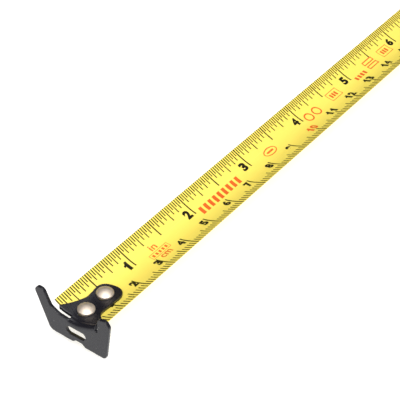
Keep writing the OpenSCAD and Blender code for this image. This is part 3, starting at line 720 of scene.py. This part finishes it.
# %% The hook, softened
def remade(node, name, voxel, rounds, keep, material):
    """A remeshed copy of a CAD node with softly rounded edges."""
    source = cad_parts[node]
    piece = bpy.data.objects.new(name, source.data.copy())
    bpy.context.scene.collection.objects.link(piece)
    remesh = piece.modifiers.new("remesh", "REMESH")
    remesh.mode, remesh.voxel_size, remesh.adaptivity = "VOXEL", voxel, 0
    rub = piece.modifiers.new("rub", "SMOOTH")
    rub.factor, rub.iterations = 0.5, rounds
    thin = piece.modifiers.new("thin", "DECIMATE")
    thin.ratio = keep
    mesh = bpy.data.meshes.new_from_object(piece.evaluated_get(bpy.context.evaluated_depsgraph_get()))
    mesh.name = name
    piece.modifiers.clear()
    piece.data = mesh
    mesh.materials.clear()
    mesh.materials.append(material)
    for polygon in mesh.polygons:
        polygon.use_smooth = True
        polygon.material_index = 0
    return piece


hook = remade("end_hook", "pressed_hook", 0.1 * MM, 7, 0.35, hook_black)
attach(hook, "hook")
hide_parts("end_hook")
print("pressed_hook has", len(hook.data.polygons), "faces")

# %% [markdown]
# ## The rivets
# Each rivet is turned and headed: a low dome on top, a shank that the hook slides along, and a
# flattened tail. Things that are round about an axis are drawn as half a profile and spun. Heading
# presses the rim down over the curved tongue, so the underside of the head is then bent to match.

# %% Rivets
def turned(name, profile, steps, material):
    """A solid of revolution about Z; profile is (radius, height), both ends on the axis."""
    bm = bmesh.new()
    spots = [bm.verts.new((r, 0, z)) for r, z in profile]
    lines = [bm.edges.new(pair) for pair in zip(spots, spots[1:])]
    bmesh.ops.spin(bm, geom=spots + lines, cent=(0, 0, 0), axis=(0, 0, 1),
                   angle=2 * math.pi, steps=steps, use_duplicate=False)
    bmesh.ops.remove_doubles(bm, verts=bm.verts, dist=1e-6)
    bmesh.ops.recalc_face_normals(bm, faces=bm.faces)
    return mesh_piece(name, bm, material)


HOOK_TOP = 1.08 * MM  # from the blade's underside to the top of the hook's tongue
RIM, DOME, SHANK_R, TAIL_R = 0.4 * MM, 0.8 * MM, 1.2 * MM, 1.9 * MM


def rivet(node):
    """A domed rivet in place of a CAD one, with its head pressed down on the tongue."""
    low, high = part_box(node)
    height, head_r = high.z - low.z, (high.x - low.x) / 2
    seat = height - DOME - RIM
    profile = [(0, 0), (TAIL_R - 0.2 * MM, 0), (TAIL_R, 0.12 * MM), (TAIL_R, 0.4 * MM),
               (SHANK_R, 0.5 * MM), (SHANK_R, seat)]
    profile += [(SHANK_R + (head_r - 0.1 * MM - SHANK_R) * i / 6, seat) for i in range(1, 7)]
    profile += [(head_r - 0.03 * MM, seat + 0.04 * MM), (head_r, seat + 0.12 * MM)]
    profile += [(head_r, seat + RIM * k) for k in (0.45, 0.7, 0.9)]
    sphere_r = (head_r ** 2 + DOME ** 2) / (2 * DOME)
    for i in range(1, 17):
        r = head_r * math.cos(math.pi / 2 * i / 16)
        profile.append((r, height - sphere_r + math.sqrt(sphere_r ** 2 - r ** 2)))
    piece = turned("domed_" + node, profile, 64, rivet_nickel)
    floor_z = blade_z - low.z + HOOK_TOP + 0.02 * MM
    for vert in piece.data.vertices:
        if seat - 0.01 * MM < vert.co.z < seat + RIM * 0.6 and vert.co.xy.length > SHANK_R * 0.99:
            saddle = on_blade(tip_low.x, vert.co.y, HOOK_TOP).z - blade_z - HOOK_TOP
            share = 1 - (vert.co.z - seat) / (RIM * 0.6)
            vert.co.z += (floor_z + saddle - seat) * max(0, min(1, share))
    piece.location = ((low.x + high.x) / 2, (low.y + high.y) / 2, low.z)
    smooth(piece, 50)
    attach(piece, "blade")
    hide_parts(node)
    print(piece.name, "is", round(2 * head_r / MM, 2), "mm across")


rivet("front_rivet")
rivet("rear_rivet")

# %% [markdown]
# ## The case
# Two moulded halves meet on the blade's centre line. A mould can't make a sharp outer edge, so
# each half gets a small rounded bevel. A bevel modifier on a copy of the CAD part does this,
# after coplanar triangles are dissolved so that only true edges are left.

# %% Rounded copies of CAD parts
def softened(node, name, width, material, body, segments=3, angle=32):
    """A copy of a CAD node with bevelled edges, riding on body in its place."""
    bm = bmesh.new()
    bm.from_mesh(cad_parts[node].data)
    bmesh.ops.remove_doubles(bm, verts=bm.verts, dist=2e-6)
    bmesh.ops.dissolve_limit(bm, angle_limit=math.radians(1), verts=bm.verts, edges=bm.edges)
    piece = mesh_piece(name, bm, material)
    smooth(piece, angle)
    bevel = piece.modifiers.new("rounded_edges", "BEVEL")
    bevel.width, bevel.segments = width, segments
    bevel.limit_method, bevel.angle_limit = "ANGLE", math.radians(angle)
    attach(piece, body)
    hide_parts(node)
    print(name, "has", len(piece.data.polygons), "faces before its bevel")


softened("case_left", "shell_left", 0.35 * MM, shell_black, "case")
softened("case_right", "shell_right", 0.35 * MM, shell_black, "case")
softened("grip_left", "soft_grip_left", 0.3 * MM, grip_rubber, "case")
softened("grip_right", "soft_grip_right", 0.3 * MM, grip_rubber, "case")
softened("front_bumper", "soft_bumper", 0.2 * MM, grip_rubber, "case")
softened("lock_button", "thumb_button", 0.3 * MM, yellow_plastic, "lock")
softened("belt_clip", "bent_clip", 0.15 * MM, clip_steel, "clip", segments=2)
softened("side_plate", "round_plate", 0.25 * MM, yellow_plastic, "case")

# %% [markdown]
# ## Parts that keep their CAD shape
# The screws, the eyelet and all the parts inside the case keep their CAD shapes. They only need real
# finishes, which go into the material slots of the CAD objects.

# %% Finishes for the remaining parts
def dress(node, material):
    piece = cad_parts[node]
    piece.data.materials.clear()
    piece.data.materials.append(material)
    smooth(piece, 30)


INNER_FINISHES = {
    "mouth_guide": grey_nylon, "case_screws": zinc_steel, "centre_post": zinc_steel,
    "centre_screw": zinc_steel, "strap_eyelet": zinc_steel, "washer_left": white_acetal,
    "washer_right": white_acetal, "spool": grey_nylon, "spool_cover": grey_nylon,
    "mainspring": spring_blue, "blade_coil": lacquer, "lock_arm": grey_nylon,
    "brake_shoe": grip_rubber, "lock_spring": spring_blue, "clip_screw": zinc_steel}
for node, material in INNER_FINISHES.items():
    dress(node, material)
print("dressed the inner parts")
